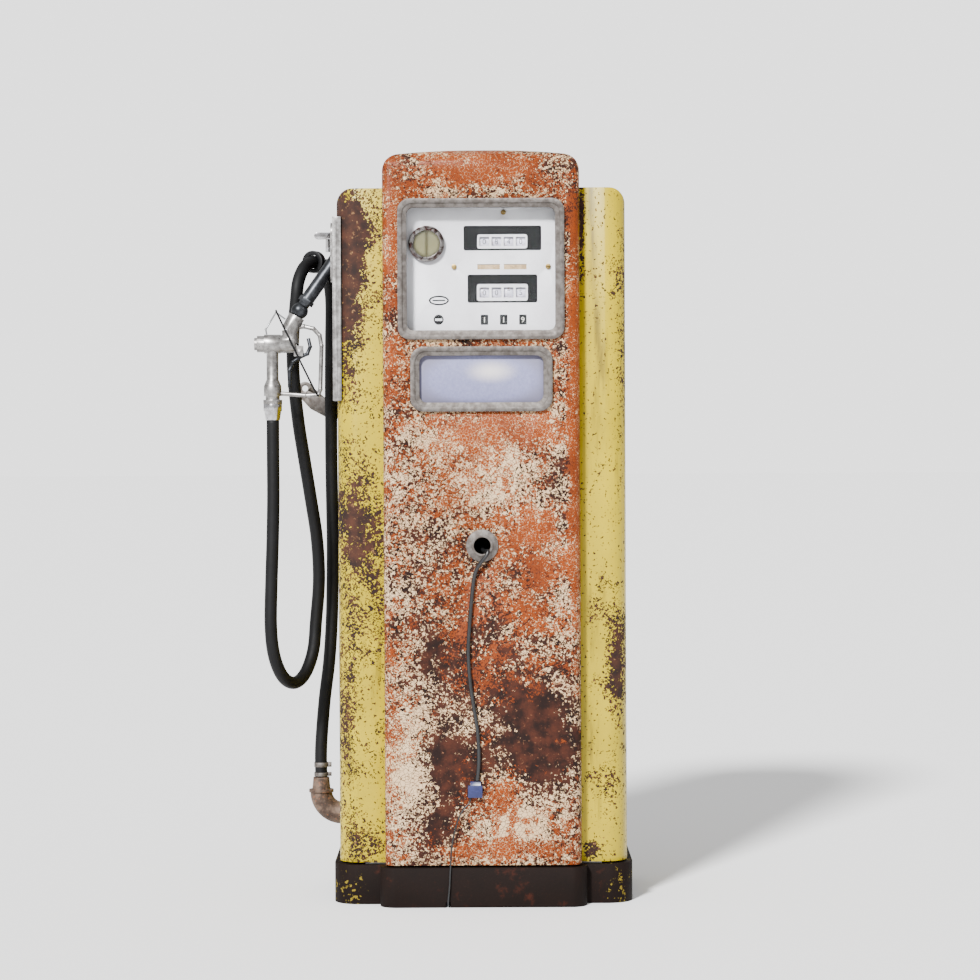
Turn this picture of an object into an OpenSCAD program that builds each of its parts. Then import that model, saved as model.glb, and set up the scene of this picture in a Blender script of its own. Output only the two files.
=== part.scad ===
// Twin-faced kerbside petrol pump with an arched centre tower, two side cabinets,
// a hose and nozzle on the left side, and a belt-driven pumping set inside.
// Origin: centre of the anchor bolts on the floor. +Z up, the front face looks to -Y.

/* [Tower] */
// Overall height at the middle of the arch
overall_h = 1575; // [1400:5:1900]
// Width of the arched tower
tower_w = 410; // [400:5:500]
// Depth of the tower, front face to rear face
tower_d = 460; // [450:5:560]
// Corner radius of the tower seen from the front
tower_r = 38; // [20:1:60]
// Radius where the top rolls over into the doors
crown_r = 42; // [24:1:60]
// Radius of the upright edges of the doors
door_edge_r = 22; // [12:1:30]
// Rise of the arch between the top corners
arch_rise = 9; // [4:1:20]
// Gap above the base at the foot of doors and panels
foot_gap = 4; // [2:1:10]

/* [Side cabinets] */
// Width over both side cabinets
cab_w = 606; // [590:2:720]
// Depth of the side cabinets
cab_d = 360; // [350:5:420]
// Height of the side cabinets
cab_h = 1498; // [1350:2:1560]
// Plan corner radius of the side cabinets
cab_r = 45; // [30:1:55]
// Radius of the outer top edge
cab_top_r = 34; // [20:1:44]
// Sheet thickness of doors, panels and crown
sheet = 2; // [1.5:0.25:3]

/* [Base] */
// Height of the base skirt
base_h = 82; // [60:2:120]
// Ledge of the base beyond the cabinets
ledge = 11; // [6:1:20]
// Thickness of the base skirt
skirt_t = 4; // [3:0.5:8]
// Anchor bolt pitch across
anchor_x = 440; // [380:5:480]
// Anchor bolt pitch front to back
anchor_y = 240; // [200:5:260]
// Anchor bolt hole
anchor_d = 14; // [10:1:18]

/* [Dial and windows] */
// Dial opening width
dial_w = 308; // [300:2:330]
// Dial opening height
dial_h = 254; // [250:2:280]
// Height of the dial's centre
dial_z = 1326; // [1300:2:1400]
// Width of the bezel rim round each window
rim = 19; // [12:1:24]
// Lower window opening width
ad_w = 257; // [200:1:290]
// Lower window opening height
ad_h = 97; // [70:1:120]
// Height of the lower window's centre
ad_z = 1098; // [1060:2:1110]
// How far a bezel stands proud of its door
bezel_t = 8; // [4:0.5:12]
// Height of the door lock
lock_z = 752; // [500:2:900]
// Hole in the lock escutcheon
lock_d = 35; // [25:1:45]

/* [Register] */
// Counter wheel diameter
wheel_d = 48; // [40:1:52]
// Counter wheel width
wheel_w = 20; // [14:0.5:22]
// Pitch between counter wheels
wheel_pitch = 25.3; // [24:0.1:27]
// Counter shaft diameter
shaft_d = 8; // [6:0.5:12]
// Running clearance of a turning part on its shaft, on the radius
run_fit = 0.05; // [0.02:0.01:0.1]

/* [Drive] */
// Motor diameter
motor_d = 150; // [120:2:170]
// Motor pulley pitch diameter
motor_pulley_d = 70; // [50:1:90]
// Pump pulley pitch diameter
pump_pulley_d = 176; // [140:2:190]
// Meter diameter
meter_d = 180; // [140:2:190]

/* [Hose and nozzle] */
// Hose outside diameter
hose_d = 27; // [22:0.5:30]
// Spout outside diameter
spout_d = 29; // [22:1:34]
// Ball joint diameter between spout and nozzle
ball_d = 36; // [32:1:42]
// Valve barrel diameter
valve_d = 40; // [34:1:46]
// Outlet elbow pipe diameter
elbow_d = 48; // [40:1:56]

/* [Hidden] */

$fn = 48;
eps = 0.01;
lap = 0.1;
tower_y = tower_d / 2;
cab_y = cab_d / 2;
cab_x = cab_w / 2;
base_x = cab_x + ledge;
base_r = cab_r + ledge - 3;
panel_z = base_h + foot_gap;
seam = 0.5;
door_back = cab_y - 2;
part_gap = 1;
seat = 0.3;
hose_seat = 0.5;
glass_t = 4;
plate_y = tower_y - 32;
plate_t = 2;
wheel_y = plate_y - 4 - wheel_d / 2;
case_y = wheel_y - wheel_d / 2 - 6;
case_x = 150;
case_z0 = dial_z - 136;
case_z1 = dial_z + 128;
first_wheel_x = 7;
cost_z = dial_z + 58;
volume_z = dial_z - 47;
price_z = dial_z - 103;
sight_x = -113;
sight_z = dial_z + 54;
sight_d = 56;
post = 30;
post_x = cab_x - 40;
post_y = cab_y - 40;
frame_top = cab_h - 40;
floor_t = 6;
floor_z = base_h + floor_t;
shelf_z = 640;
shelf_t = 5;
meter_x = -60;
meter_y = 40;
meter_h = 130;
drop_x = meter_x - meter_d / 2 - 66;
motor_x = 150;
motor_z = floor_z + motor_d / 2 + 20;
pump_x = -70;
pump_z = floor_z + pump_pulley_d / 2 + 22;
belt_y = -150;
belt_w = 16;
pulley_w = 24;
conduit_x = 25;
conduit_y = 120;
conduit_d = 27;
outlet_y = 95;
outlet_x = -355;
outlet_z = 155;
noz_y = -105;
boot_x0 = cab_x - 10;
boot_x1 = cab_x + 8;
boot_z0 = 1055;
boot_z1 = 1440;
mouth_z0 = 1306;
mouth_z1 = 1416;
lip_z1 = mouth_z1 + 15;
lever_x = 5 - boot_x1;
lever_z = 1404;
hose_z0 = 234;
lock_x = -387;
lock_hole_z = 1085;
hanger = [-360, 16, 1356];
hanger_turn = atan2(-79, -33);

// ---------- outline helpers ----------
module rrect(w, h, r) {
    square([w - 2 * r, h], center = true);
    square([w, h - 2 * r], center = true);
    for (x = [-1, 1], z = [-1, 1]) translate([x * (w / 2 - r), z * (h / 2 - r)]) circle(r);
}

// Stands an x-z outline up and gives it a thickness from y0 to y1.
module upright(y0, y1) translate([0, y1, 0]) rotate([90, 0, 0]) linear_extrude(y1 - y0) children();

// A cylinder lying along Y from y0 to y1.
module along_y(d, y0, y1) upright(y0, y1) circle(d = d);

// A cylinder lying along X from x0 to x1.
module along_x(d, x0, x1) translate([x0, 0, 0]) rotate([0, 90, 0]) cylinder(d = d, h = x1 - x0);

// A straight bar of round section between two points.
module bar(a, b, d) {
    v = b - a;
    translate(a) rotate([0, acos(v[2] / norm(v)), atan2(v[1], v[0])]) cylinder(d = d, h = norm(v));
}

// Arched outline of the tower seen from the front, drawn inside by the given inset.
module tower_front(inset) {
    x = tower_w / 2 - tower_r;
    top = overall_h - arch_rise;
    big = (x * x + arch_rise * arch_rise) / (2 * arch_rise);
    r = tower_r - inset;
    translate([-tower_w / 2 + inset, 0]) square([tower_w - 2 * inset, top - tower_r]);
    translate([-x, 0]) square([2 * x, top - inset]);
    for (s = [-1, 1]) translate([s * x, top - tower_r]) circle(r);
    intersection() {
        translate([0, overall_h - big]) circle(big - inset, $fn = 200);
        translate([-x, top - tower_r]) square([2 * x, tower_r + arch_rise + 1]);
    }
}

// The whole tower as one solid, drawn inside by the given inset.
module tower_solid(inset) {
    intersection() {
        upright(-tower_y, tower_y) tower_front(inset);
        linear_extrude(overall_h + 1)
            rrect(tower_w - 2 * inset, tower_d - 2 * inset, door_edge_r - inset);
        rotate([90, 0, 90]) translate([0, 0, -tower_w / 2]) linear_extrude(tower_w)
            rrect(tower_d - 2 * inset, 2 * (overall_h - inset), crown_r - inset);
    }
}

module tower_shell() difference() { tower_solid(0); tower_solid(sheet); }

// ---------- casing ----------
module base_plan(grow) {
    rrect(2 * (base_x + grow), cab_d + 2 * (ledge + grow), base_r + grow);
    rrect(tower_w + 2 * (ledge + grow), tower_d + 2 * (ledge + grow), door_edge_r + ledge + grow);
}

module base_skirt() color("#2E211C") {
    difference() {
        linear_extrude(base_h) base_plan(0);
        translate([0, 0, -1]) linear_extrude(base_h - skirt_t + 1) base_plan(-skirt_t);
        translate([0, 0, -1]) linear_extrude(base_h + 2) rrect(cab_w - 120, cab_d - 60, 20);
        translate([-79, -tower_y - ledge - 1, -1]) cube([10, skirt_t + 2, 12]);
    }
    difference() {
        for (x = [-1, 1], y = [-1, 1]) translate([x * anchor_x / 2, y * anchor_y / 2, 0])
            foot_pad(x, y);
        for (x = [-1, 1], y = [-1, 1]) translate([x * anchor_x / 2, y * anchor_y / 2, -1])
            cylinder(d = anchor_d, h = 20);
    }
}

// One foot plate with its web, reaching out to the skirt wall.
module foot_pad(x, y) {
    reach = base_x - skirt_t - anchor_x / 2 + lap;
    translate([x > 0 ? -40 : -reach, -35, 0]) cube([reach + 40, 70, 8]);
}

module frame_plan(w, d) difference() {
    square([w, d], center = true);
    square([w - 2 * post, d - 2 * post], center = true);
}

module cabinet_frame() color("#4A4E50") {
    w = 2 * post_x + post;
    d = 2 * post_y + post;
    difference() {
        union() {
            translate([0, 0, base_h]) linear_extrude(floor_t) square([w, d], center = true);
            translate([0, 0, base_h]) linear_extrude(floor_t) square([w - 60, cab_d - 8], center = true);
        }
        translate([pump_x, -20, base_h - 1]) cylinder(d = 52, h = floor_t + 2);
        translate([conduit_x, conduit_y, base_h - 1]) cylinder(d = conduit_d + 2 * seat, h = floor_t + 2);
    }
    for (x = [-1, 1], y = [-1, 1]) translate([x * post_x, y * post_y, base_h + floor_t]) difference() {
        translate([-post / 2, -post / 2, 0]) cube([post, post, frame_top - floor_z]);
        translate([-post / 2 - x * 4, -post / 2 - y * 4, -1]) cube([post, post, frame_top]);
    }
    translate([0, 0, frame_top]) linear_extrude(4) frame_plan(w, d);
    translate([0, 0, shelf_z]) linear_extrude(shelf_t) difference() {
        square([w - 6, d - 6], center = true);
        translate([drop_x, outlet_y]) circle(d = 50);
    }
    translate([0, 0, case_z0 - 20]) linear_extrude(20) frame_plan(w, d);
    for (y = [-1, 1]) translate([-post_x, y * (case_y - 50) - 12, case_z0 - 20])
        cube([2 * post_x, 24, 20]);
    // Top rails that carry the crown, and tabs that carry the panels and doors.
    for (y = [-1, 1]) translate([-post_x, y * (case_y + 10) - 7, frame_top]) cube([2 * post_x, 14, 4]);
    for (x = [-1, 1], y = [-60, 30], z = [floor_z, frame_top - 20])
        translate([x > 0 ? post_x : -cab_x + sheet + seat, y, z])
            cube([cab_x - sheet - seat - post_x, 30, 4]);
    for (x = [-1, 1], y = [-1, 1], z = [floor_z, case_z0 - 20])
        translate([x > 0 ? tower_w / 2 - 24 : -tower_w / 2 + sheet + seat,
            y > 0 ? post_y : -door_back - 22, z])
            cube([24 - sheet - seat, door_back + 22 - post_y, z > shelf_z ? 20 : 4]);
    for (x = [-1, 1]) translate([x * post_x - post / 2, -post_y, frame_top - 20]) cube([post, 2 * post_y, 4]);
}

module panel_solid(inset, open = 0) {
    inner_x = tower_w / 2 + seam - open;
    intersection() {
        translate([0, 0, panel_z]) linear_extrude(cab_h - panel_z)
            rrect(cab_w - 2 * inset, cab_d - 2 * inset, cab_r - inset);
        upright(-cab_y, cab_y) rrect(cab_w - 2 * inset, 2 * (cab_h - inset), cab_top_r - inset);
        translate([inner_x, -cab_y, 0]) cube([cab_x, cab_d, cab_h]);
    }
}

module side_panel() difference() {
    panel_solid(0);
    panel_solid(sheet, 1);
    translate([0, 0, -cab_h / 2]) panel_solid(sheet, 1);
}

module left_panel() color("#8C7A2E") difference() {
    mirror([1, 0, 0]) side_panel();
    translate([-cab_x - 1, noz_y - 24, mouth_z0 + 6]) cube([sheet + 2, 48, mouth_z1 - mouth_z0 - 2]);
    translate([-cab_x - 1, outlet_y, outlet_z]) rotate([0, 90, 0]) cylinder(d = elbow_d + 2, h = 10);
}

module right_panel() color("#D8C23A") side_panel();

module crown() color("#C4622D") intersection() {
    tower_shell();
    translate([-tower_w / 2, -door_back + part_gap, frame_top + 4])
        cube([tower_w, 2 * (door_back - part_gap), overall_h]);
}

// Builds a front piece, or its copy on the rear face when side is 1.
module face(side) rotate([0, 0, side > 0 ? 180 : 0]) children();

module door() difference() {
    intersection() {
        tower_shell();
        translate([-tower_w / 2, -tower_y, panel_z])
            cube([tower_w, tower_y - door_back, overall_h]);
    }
    translate([0, 0, dial_z]) upright(-tower_y - 1, -tower_y + 10) rrect(dial_w + 10, dial_h + 10, 16);
    translate([0, 0, ad_z]) upright(-tower_y - 1, -tower_y + 10) rrect(ad_w + 10, ad_h + 10, 18);
    translate([0, 0, lock_z]) along_y(lock_d + 4, -tower_y - 1, -tower_y + 10);
}

module front_door() color("#D9B48C") door();
module rear_door() color("#C4622D") face(1) door();

// A rim on the outside of the door with a spigot that passes through its opening.
module bezel(w, h, z, r) translate([0, 0, z]) difference() {
    union() {
        upright(-tower_y - bezel_t, -tower_y) rrect(w + 2 * rim, h + 2 * rim, r + 12);
        upright(-tower_y - 1, -tower_y + sheet + 4) rrect(w + 9.6, h + 9.6, r + 2);
    }
    upright(-tower_y - bezel_t - 1, -tower_y + 10) rrect(w, h, r);
    upright(-tower_y - bezel_t - 1, -tower_y - bezel_t + 3) rrect(w + rim, h + rim, r + 7);
}

module dial_bezel() bezel(dial_w, dial_h, dial_z, 14);
module ad_bezel() bezel(ad_w, ad_h, ad_z, 16);
module front_dial_bezel() color("#9A9A94") dial_bezel();
module rear_dial_bezel() color("#9A9A94") face(1) dial_bezel();
module front_ad_bezel() color("#9A9A94") ad_bezel();
module rear_ad_bezel() color("#9A9A94") face(1) ad_bezel();

// A pane resting on the back of a bezel's spigot.
module pane(w, h, z, t) {
    y = -tower_y + sheet + 4;
    translate([0, 0, z]) upright(y, y + t) rrect(w + 9, h + 9, 16);
}

module front_dial_glass() color([0.8, 0.9, 0.9, 0.3]) pane(dial_w, dial_h, dial_z, glass_t);
module rear_dial_glass() color([0.8, 0.9, 0.9, 0.3]) face(1) pane(dial_w, dial_h, dial_z, glass_t);
module front_ad_panel() color("#C9CBE0") pane(ad_w, ad_h, ad_z, 3);
module rear_ad_panel() color("#C9CBE0") face(1) pane(ad_w, ad_h, ad_z, 3);

module lock_escutcheon() color("#8A8580") translate([0, 0, lock_z]) difference() {
    union() {
        along_y(lock_d + 32, -tower_y - 4, -tower_y);
        along_y(lock_d + 10, -tower_y - 7, -tower_y - 3);
        along_y(lock_d + 3.6, -tower_y - 1, -tower_y + 8);
    }
    along_y(lock_d, -tower_y - 10, -tower_y + 12);
}

module rear_lock() color("#8A8580") face(1) translate([0, 0, lock_z]) {
    difference() {
        union() {
            along_y(lock_d + 32, -tower_y - 4, -tower_y);
            along_y(lock_d + 3.6, -tower_y - 1, -tower_y + 24);
        }
        translate([-1.5, -tower_y - 5, -6]) cube([3, 8, 12]);
    }
}

// ---------- register ----------
module wheel_window(i, z, h) translate([first_wheel_x + i * wheel_pitch, z])
    square([wheel_w, h], center = true);

module dial_plate() difference() {
    translate([0, 0, dial_z]) upright(-plate_y, -plate_y + plate_t) rrect(dial_w + 22, dial_h + 22, 10);
    upright(-plate_y - 1, -plate_y + plate_t + 1) for (i = [0:3]) {
        wheel_window(i, cost_z, 18.5);
        wheel_window(i, volume_z, 21);
    }
    upright(-plate_y - 1, -plate_y + plate_t + 1) for (i = [0:2])
        translate([first_wheel_x + i * 40, price_z]) square([13.5, 18.5], center = true);
    for (p = screw_places()) translate([p[0], 0, p[1]]) along_y(6.4, -plate_y - 1, -plate_y + plate_t + 1);
    translate([sight_x, 0, sight_z]) along_y(sight_d + 4, -plate_y - 1, -plate_y + plate_t + 1);
}

function screw_places() = [[-56, dial_z + 6], [47, dial_z + 118], [140, dial_z + 6]];

module front_dial_plate() color("#F2F2EC") dial_plate();
module rear_dial_plate() color("#F2F2EC") face(1) dial_plate();

module dial_screws() color("#A88A4A") for (side = [0, 1]) face(side) for (p = screw_places())
    translate([p[0], 0, p[1]]) {
        along_y(6, -plate_y, -case_y);
        difference() {
            along_y(11, -plate_y - 3, -plate_y);
            translate([-6, -plate_y - 4, -0.75]) cube([12, 2.2, 1.5]);
        }
    }

// Chrome ring, lens and the short flow chamber behind it.
module sight_glass() translate([sight_x, 0, sight_z]) {
    difference() {
        along_y(sight_d + 18, -plate_y - 10, -plate_y);
        along_y(sight_d, -plate_y - 11, -plate_y + 1);
    }
    along_y(sight_d, -plate_y - 5, -plate_y);
    along_y(sight_d, -plate_y, -case_y);
}

module front_sight_glass() color("#6E6A45") sight_glass();
module rear_sight_glass() color("#6E6A45") face(1) sight_glass();

module lamps() color("#F4F4F0") for (side = [0, 1]) face(side) translate([0, 0, ad_z + 30]) {
    translate([0, -plate_y - 2, 0]) along_x(26, -120, 120);
    for (x = [-1, 1]) translate([x * 124 - 4, -plate_y - 17, -15]) cube([8, 30, 30]);
    translate([-128, -plate_y + 13, -15]) cube([256, 3, 30]);
    for (x = [-1, 1]) translate([x * 110 - 8, -plate_y + 16, -10]) cube([16, plate_y - 8 - post_y, 4]);
    for (x = [-1, 1]) translate([x * 110 - 8, -post_y, -10]) cube([16, 8, case_z0 - 20 - ad_z - 20]);
}

module register_case() color("#7D8487") {
    difference() {
        translate([-case_x, -case_y, case_z0]) cube([2 * case_x, 2 * case_y, case_z1 - case_z0]);
        translate([-case_x + 3, -case_y + 3, case_z0 + 3])
            cube([2 * case_x - 6, 2 * case_y - 6, case_z1 - case_z0 - 6]);
        translate([meter_x, meter_y, case_z0 - 1]) cylinder(d = shaft_d + 14, h = 5);
    }
    for (side = [0, 1]) face(side) for (z = [cost_z, volume_z])
        for (x = [first_wheel_x - 22, first_wheel_x + 3 * wheel_pitch + 14])
            difference() {
                translate([x, -wheel_y - 8, z - 8]) cube([8, wheel_y + 8 - case_y + 1, 16]);
                translate([0, -wheel_y, z]) along_x(shaft_d, x - 1, x + 9);
            }
}

module counter_shafts() color("#B8BCBE") for (side = [0, 1]) face(side) for (z = [cost_z, volume_z])
    translate([0, -wheel_y, z]) {
        along_x(shaft_d, first_wheel_x - 24, first_wheel_x + 3 * wheel_pitch + 24);
        for (i = [0:2]) along_x(shaft_d + 6, first_wheel_x + i * wheel_pitch + wheel_w / 2 + 0.4,
            first_wheel_x + (i + 1) * wheel_pitch - wheel_w / 2 - 0.4);
    }

// A number wheel on its shaft, i pitches along from the first.
module counter_wheel(i, z) translate([first_wheel_x + i * wheel_pitch, -wheel_y, z])
    rotate([0, 90, 0]) translate([0, 0, -wheel_w / 2]) difference() {
        cylinder(d = wheel_d, h = wheel_w, $fn = 96);
        translate([0, 0, -1]) cylinder(d = shaft_d + 2 * run_fit, h = wheel_w + 2);
    }

module cost_wheel_1() color("#F4F4EE") counter_wheel(0, cost_z);
module cost_wheel_2() color("#F4F4EE") counter_wheel(1, cost_z);
module cost_wheel_3() color("#F4F4EE") counter_wheel(2, cost_z);
module cost_wheel_4() color("#F4F4EE") counter_wheel(3, cost_z);
module volume_wheel_1() color("#F4F4EE") counter_wheel(0, volume_z);
module volume_wheel_2() color("#F4F4EE") counter_wheel(1, volume_z);
module volume_wheel_3() color("#F4F4EE") counter_wheel(2, volume_z);
module volume_wheel_4() color("#F4F4EE") counter_wheel(3, volume_z);
module rear_cost_wheels() color("#F4F4EE") face(1) for (i = [0:3]) counter_wheel(i, cost_z);
module rear_volume_wheels() color("#F4F4EE") face(1) for (i = [0:3]) counter_wheel(i, volume_z);

module price_drums() color("#202020") for (side = [0, 1]) face(side) for (i = [0:2])
    translate([first_wheel_x + i * 40, 0, price_z]) {
        translate([-7, -plate_y + plate_t + 1, -12]) cube([14, 4, 24]);
        along_y(10, -plate_y + plate_t + 5, -case_y);
    }

// ---------- pumping set ----------
module meter() color("#8F9496") translate([meter_x, meter_y, shelf_z + shelf_t]) {
    difference() {
        union() {
            cylinder(d = meter_d, h = meter_h);
            translate([0, 0, meter_h]) cylinder(d = 60, h = 20);
            for (a = [0:5]) rotate(a * 60 + 20) translate([meter_d / 2 - 12, 0, meter_h - 1])
                cylinder(d = 14, h = 10, $fn = 6);
        }
        translate([0, 0, meter_h - 20]) cylinder(d = 12 + 2 * run_fit, h = 50);
    }
}

module meter_shaft() color("#B8BCBE") translate([meter_x, meter_y, shelf_z + shelf_t + meter_h - 19]) {
    cylinder(d = 12, h = case_z0 + 40 - shelf_z - shelf_t - meter_h + 19);
    translate([0, 0, case_z0 + 20 - shelf_z - shelf_t - meter_h + 19]) difference() {
        cylinder(d = 50, h = 14);
        for (a = [0:11]) rotate(a * 30) translate([25, 0, -1]) cylinder(d = 6, h = 16);
    }
}

module motor() color("#5C6A62") difference() {
    union() {
        translate([motor_x, 0, motor_z]) {
            along_y(motor_d, -100, 120);
            along_y(motor_d + 8, -106, -96);
            along_y(motor_d + 8, 112, 124);
            along_y(14, belt_y - 14, -100);
            for (a = [0:15]) rotate([0, a * 22.5, 0]) translate([motor_d / 2 - 1, -80, -1.5])
                cube([5, 180, 3]);
        }
        for (y = [-60, 70]) translate([motor_x - 60, y - 15, floor_z]) cube([120, 30, 28]);
    }
    translate([motor_x, 0, motor_z]) along_y(40, 120, 130);
}

// A V-belt pulley on its shaft; its bore clears the shaft by the running fit.
module pulley(x, z, d, bore) translate([x, belt_y, z]) difference() {
    union() {
        along_y(d + 10, -pulley_w / 2, -belt_w / 2 - 0.5);
        along_y(d, -pulley_w / 2, pulley_w / 2);
        along_y(d + 10, belt_w / 2 + 0.5, pulley_w / 2);
        along_y(bore + 14, -pulley_w / 2, pulley_w / 2 + 6);
    }
    along_y(bore + 2 * run_fit, -pulley_w, pulley_w);
}

module motor_pulley() color("#3E4244") pulley(motor_x, motor_z, motor_pulley_d, 14);

module pump_pulley() color("#3E4244") difference() {
    pulley(pump_x, pump_z, pump_pulley_d, 18);
    translate([pump_x, 0, pump_z]) for (a = [0:4]) rotate([0, a * 72, 0])
        translate([pump_pulley_d * 0.3, 0, 0]) along_y(pump_pulley_d * 0.2, belt_y - 20, belt_y + 30);
}

module belt_outline(grow) hull() {
    translate([motor_x, motor_z]) circle(d = motor_pulley_d + grow, $fn = 60);
    translate([pump_x, pump_z]) circle(d = pump_pulley_d + grow, $fn = 60);
}

module drive_belt() color("#1E1E1E") upright(belt_y - belt_w / 2, belt_y + belt_w / 2) difference() {
    belt_outline(12);
    belt_outline(0.8);
}

module pump_unit() color("#6F7A72") {
    translate([pump_x, 0, pump_z]) {
        along_y(150, -110, -10);
        along_y(170, -70, -54);
        along_y(60, -125, -105);
        along_y(18, belt_y - 14, -120);
        for (a = [0:7]) rotate([0, a * 45, 0]) translate([78, 0, 0]) along_y(9, -78, -46);
    }
    difference() {
        translate([pump_x - 60, -100, floor_z]) cube([120, 80, 40]);
        translate([pump_x, -20, floor_z - 1]) cylinder(d = 52, h = 14);
    }
}

module air_separator() color("#6F7A72") {
    translate([pump_x - 10, 60, floor_z]) {
        cylinder(d = 108, h = 10);
        cylinder(d = 96, h = 260);
        translate([0, 0, 260]) cylinder(d = 112, h = 12);
        for (a = [0:5]) rotate(a * 60) translate([48, 0, 272]) cylinder(d = 11, h = 7, $fn = 6);
    }
}

// A quarter bend of round pipe, centred on the bend's axis.
module bend(r, d) rotate_extrude(angle = 90) translate([r, 0]) circle(d = d);

module pipework() color("#8B8378") {
    // Suction riser from the floor to the pump's foot.
    difference() {
        translate([pump_x, -20, 0]) {
            cylinder(d = 48, h = floor_z + 13);
            translate([0, 0, 8]) cylinder(d = 62, h = 24, $fn = 6);
        }
        translate([pump_x, -20, -1]) cylinder(d = 38, h = floor_z - 10);
    }
    // Separator to meter.
    translate([pump_x - 10, 60, floor_z + 272]) cylinder(d = 30, h = shelf_z - floor_z - 272);
    // Meter to the outlet on the left side.
    translate([drop_x, meter_y, shelf_z + 60]) along_x(34, 0, meter_x - meter_d / 2 - drop_x);
    translate([drop_x, meter_y, shelf_z + 60]) sphere(d = 44);
    translate([drop_x, outlet_y, shelf_z + 60]) along_y(34, meter_y - outlet_y, 0);
    translate([drop_x, outlet_y, shelf_z + 60]) sphere(d = 44);
    translate([drop_x, outlet_y, outlet_z]) cylinder(d = 34, h = shelf_z + 60 - outlet_z);
    translate([drop_x, outlet_y, outlet_z]) sphere(d = 52);
    translate([0, outlet_y, outlet_z]) along_x(40, -cab_x + 6, drop_x);
}

module junction_box() color("#55595C") {
    difference() {
        translate([conduit_x, conduit_y, 0]) cylinder(d = conduit_d, h = floor_z + 60);
        translate([conduit_x, conduit_y, -1]) cylinder(d = 20, h = floor_z + 40);
    }
    translate([conduit_x - 34, conduit_y - 26, floor_z + 60]) cube([68, 52, 90]);
    for (x = [-24, 20]) translate([conduit_x + x, conduit_y - 30, floor_z + 68]) cube([6, 5, 6]);
}

// ---------- outlet, boot and hanger on the left side ----------
module outlet_elbow() color("#6E5548") {
    r = -cab_x - 6 - outlet_x;
    translate([outlet_x + r, outlet_y, outlet_z + r]) rotate([90, 0, 0]) rotate([0, 0, 180]) bend(r, elbow_d);
    translate([0, outlet_y, outlet_z]) along_x(elbow_d, outlet_x + r - eps, -cab_x + 6);
    translate([outlet_x, outlet_y, outlet_z + r - eps]) {
        cylinder(d = elbow_d + 6, h = 6);
        translate([0, 0, 6])
            cylinder(d1 = elbow_d - 8, d2 = hose_d + 8, h = hose_z0 - outlet_z - r - 6 - hose_seat);
    }
}

module clamp_ring(gap, h) {
    difference() {
        union() {
            cylinder(d = hose_d + 4, h = h);
            translate([hose_d / 2, -4, 0]) cube([9, 8, h]);
            translate([hose_d / 2 + 6, -8, h / 2]) rotate([-90, 0, 0]) cylinder(d = 4.5, h = 16);
        }
        translate([0, 0, -1]) cylinder(d = hose_d + gap, h = h + 2);
    }
}

module hose_clamps() color("#8A8278") {
    translate([outlet_x, outlet_y, hose_z0 + 2]) clamp_ring(0.6, 8);
    translate([outlet_x, outlet_y, hose_z0 + 22]) clamp_ring(0.6, 10);
}

// Pressed boot cover round the front left corner, with a lipped mouth for the spout.
module nozzle_boot() color("#D5D7DA") {
    h = boot_z1 - boot_z0;
    difference() {
        translate([-boot_x1, -cab_y + 8, boot_z0]) cube([boot_x1 - boot_x0, 114, h]);
        translate([-boot_x1 + 2, -cab_y + 10, boot_z0 + 2]) cube([boot_x1 - boot_x0 - 4, 110, h - 4]);
        boot_inside();
        translate([-boot_x1 - 1, noz_y - 22, mouth_z0 + 6]) cube([4, 44, 84]);
        translate([-boot_x1 - 1, noz_y - 7, lever_z - 12]) cube([4, 14, 32]);
        translate([-302, -cab_y + 7, boot_z0 + 12]) cube([3, 2, h - 24]);
    }
    translate([-boot_x1 - 6, noz_y, (mouth_z0 + lip_z1) / 2]) rotate([0, 90, 0]) linear_extrude(6 + eps)
        difference() {
            rrect(lip_z1 - mouth_z0, 60, 24);
            rrect(lip_z1 - mouth_z0 - 8, 52, 20);
        }
    for (y = [-12, 8]) translate([-boot_x1 + 2 - eps, noz_y + y, lever_z - 7]) cube([9, 4, 12]);
    translate([lever_x, noz_y, lever_z]) along_y(6, -12, 12);
}

// What the boot leaves free for the corner of the left panel that it wraps.
module boot_inside() translate([0, 0, panel_z]) linear_extrude(cab_h - panel_z)
    rrect(cab_w + 0.4, cab_d + 0.4, cab_r + 0.2);

module switch_lever() color("#C9CACC") difference() {
    union() {
        translate([lever_x, noz_y, lever_z]) along_y(14, -6.5, 6.5);
        translate([lever_x - 39, noz_y - 6.5, lever_z - 7]) cube([39, 13, 14]);
        translate([lever_x - 39, noz_y, lever_z]) along_y(14, -6.5, 6.5);
        translate([lever_x - 22, noz_y - 5, lever_z - 34]) cube([9, 10, 30]);
    }
    translate([lever_x, noz_y, lever_z]) along_y(6 + 2 * run_fit, -8, 8);
}

module hose_hanger() color("#2A2A2C") difference() {
    union() {
        translate(hanger) rotate([0, 90, hanger_turn]) translate([0, 0, -9])
            cylinder(d = hose_d + 21, h = 18);
        translate([hanger[0] + 17, hanger[1] - 6, hanger[2] - 6]) cube([-cab_x - hanger[0] - 17, 12, 12]);
        translate([-cab_x - 3, hanger[1] - 24, hanger[2] - 26]) cube([3, 48, 52]);
    }
    translate(hanger) rotate([0, 90, hanger_turn]) translate([0, 0, -30]) cylinder(d = hose_d + 3, h = 60);
    for (z = [-18, 18]) translate([-cab_x - 5, hanger[1], hanger[2] + z]) rotate([0, 90, 0])
        cylinder(d = 5, h = 6);
}

module lock_plate() color("#9C907C") {
    upright(118, 124) difference() {
        union() {
            translate([lock_x, lock_hole_z]) circle(15);
            polygon([[-373, 1090], [-340, 1062], [-cab_x, 1062], [-cab_x, 1016], [-345, 1024],
                [-375, 1040], [-395, 1062], [-401, 1080]]);
        }
        translate([lock_x, lock_hole_z]) circle(6.5);
    }
    translate([-cab_x - 3, 106, 1010]) cube([3, 26, 58]);
}

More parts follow.
